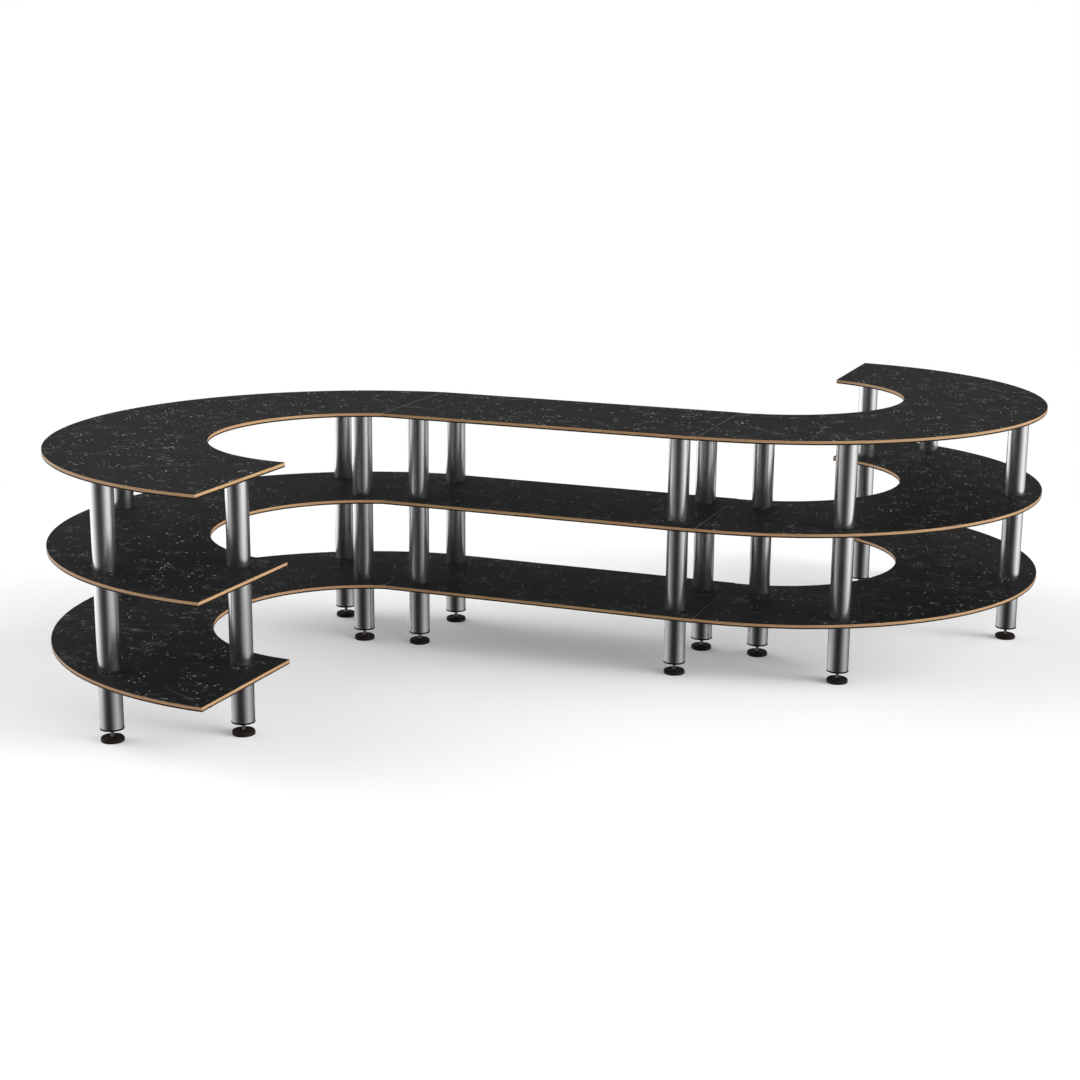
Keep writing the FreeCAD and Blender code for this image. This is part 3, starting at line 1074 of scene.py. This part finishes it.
def studio_world(stage):
    """A white background, a dome of light, and a studio of bright and dark walls for the steel.

    The dome grows brighter to the left and right with the fourth power of the ray's part along
    x. The walls' brightness follows the bearing of the ray, the arc tangent of its part to the
    camera's right over its part towards the camera, and gives way to an even ceiling.
    """
    world = bpy.data.worlds.new("studio")
    bpy.context.scene.world = world
    world.use_nodes = True
    tree = world.node_tree
    tree.nodes.clear()
    ray = add_node(tree, "ShaderNodeTexCoord").outputs["Generated"]
    to_camera = Vector(stage.camera_place).xy.normalized()
    right = (-to_camera.y, to_camera.x, 0)
    towards = measure_node(tree, "DOT_PRODUCT", ray, (*to_camera, 0))
    across = measure_node(tree, "DOT_PRODUCT", ray, right)
    bearing = math_node(tree, "ARCTAN2", across, towards)
    ramp = add_node(tree, "ShaderNodeValToRGB", {0: remap(tree, bearing, -math.pi, math.pi)})
    stops = ramp.color_ramp.elements
    brightest = max(level for angle, level in STUDIO_WALLS)
    stops.remove(stops[-1])
    for number, (angle, level) in enumerate(STUDIO_WALLS):
        stop = stops.new((angle + 180) / 360) if number else stops[0]
        stop.color = (*(level / brightest,) * 3, 1)
    axes = add_node(tree, "ShaderNodeSeparateXYZ", {0: ray}).outputs
    high_up = remap(tree, axes[2], *CEILING_BAND)
    level = blend(tree, high_up, ramp.outputs[0], (stage.ceiling / brightest,) * 3)
    sideways = math_node(tree, "POWER", math_node(tree, "ABSOLUTE", axes[0]), SIDE_POWER)
    soft = remap(tree, sideways, 0, 1, stage.dome, stage.dome_sides)
    path = add_node(tree, "ShaderNodeLightPath").outputs
    lit = mix_shader(
        tree, path["Is Glossy Ray"], background(tree, WHITE, soft), background(tree, level, brightest),
    )
    seen = math_node(tree, "MAXIMUM", path["Is Camera Ray"], path["Is Transmission Ray"])
    surface = mix_shader(tree, seen, lit, background(tree, WHITE, 1.0))
    add_node(tree, "ShaderNodeOutputWorld", {"Surface": surface})


def key_light(stage):
    """A broad even light, as from a large soft box far away."""
    light = bpy.data.lights.new("key", "SUN")
    light.energy = stage.key
    light.angle = stage.key_spread
    lamp = bpy.data.objects.new("key", light)
    lamp.matrix_world = Vector(stage.key_from).to_track_quat("Z", "Y").to_matrix().to_4x4()
    lamp.visible_glossy = False
    bpy.context.scene.collection.objects.link(lamp)


class BUFFET_OT_stage(bpy.types.Operator):
    """Set the camera, the pale floor and the soft studio light"""

    bl_idname = "buffet.stage"
    bl_label = "Stage"

    def execute(self, context):
        stage = context.scene.buffet_stage
        scene = context.scene
        scene.view_settings.view_transform = "Standard"

        camera = bpy.data.objects.new("camera", bpy.data.cameras.new("camera"))
        camera.data.lens = stage.lens
        tilt, roll, turn = stage.camera_turn
        facing = Matrix.Rotation(turn, 4, "Z") @ Matrix.Rotation(math.pi / 2 - tilt, 4, "X")
        place = Matrix.Translation(stage.camera_place)
        camera.matrix_world = place @ facing @ Matrix.Rotation(roll, 4, "Z")
        scene.collection.objects.link(camera)
        scene.camera = camera

        points, faces = floor_mesh(stage.floor_reach)
        mesh = bpy.data.meshes.new("floor")
        mesh.from_pydata(points.tolist(), [], faces)
        mesh.materials.append(floor_material(stage))
        floor = bpy.data.objects.new("floor", mesh)
        scene.collection.objects.link(floor)
        # The floor starts above all the pads, and each pad keeps it below, so it lies under the lowest
        floor.location.z = CAD_BOX[1].z
        for number in FEET:
            below = floor.constraints.new("FLOOR")
            below.target = frame["bodies"][f"pad_{number}"]
            below.floor_location = "FLOOR_NEGATIVE_Z"

        studio_world(stage)
        key_light(stage)
        return {"FINISHED"}


# Panel and registration

class BUFFET_PT_table(bpy.types.Panel):
    """Lists the steps that finish the table"""

    bl_label = "Buffet table"
    bl_idname = "BUFFET_PT_table"
    bl_space_type = "VIEW_3D"
    bl_region_type = "UI"
    bl_category = "Buffet"

    def draw(self, context):
        for step in STEPS:
            self.layout.operator(step.bl_idname)


SETTINGS = {
    "buffet_boards": BoardSettings,
    "buffet_legs": LegSettings,
    "buffet_feet": FootSettings,
    "buffet_stage": StageSettings,
}
STEPS = (
    BUFFET_OT_stage, BUFFET_OT_shelf_boards, BUFFET_OT_leg_tubes, BUFFET_OT_link_plates,
    BUFFET_OT_fasteners, BUFFET_OT_foot_caps, BUFFET_OT_levelling_feet,
)


def register():
    for cls in (*SETTINGS.values(), *STEPS, BUFFET_PT_table):
        bpy.utils.register_class(cls)
    for name, group in SETTINGS.items():
        setattr(bpy.types.Scene, name, PointerProperty(type=group))


def unregister():
    for name in SETTINGS:
        delattr(bpy.types.Scene, name)
    for cls in (BUFFET_PT_table, *reversed(STEPS), *SETTINGS.values()):
        bpy.utils.unregister_class(cls)


def main():
    register()
    bpy.ops.buffet.stage()
    bpy.ops.buffet.shelf_boards()
    bpy.ops.buffet.leg_tubes()
    bpy.ops.buffet.link_plates()
    bpy.ops.buffet.fasteners()
    bpy.ops.buffet.foot_caps()
    bpy.ops.buffet.levelling_feet()


if __name__ == "__main__":
    main()
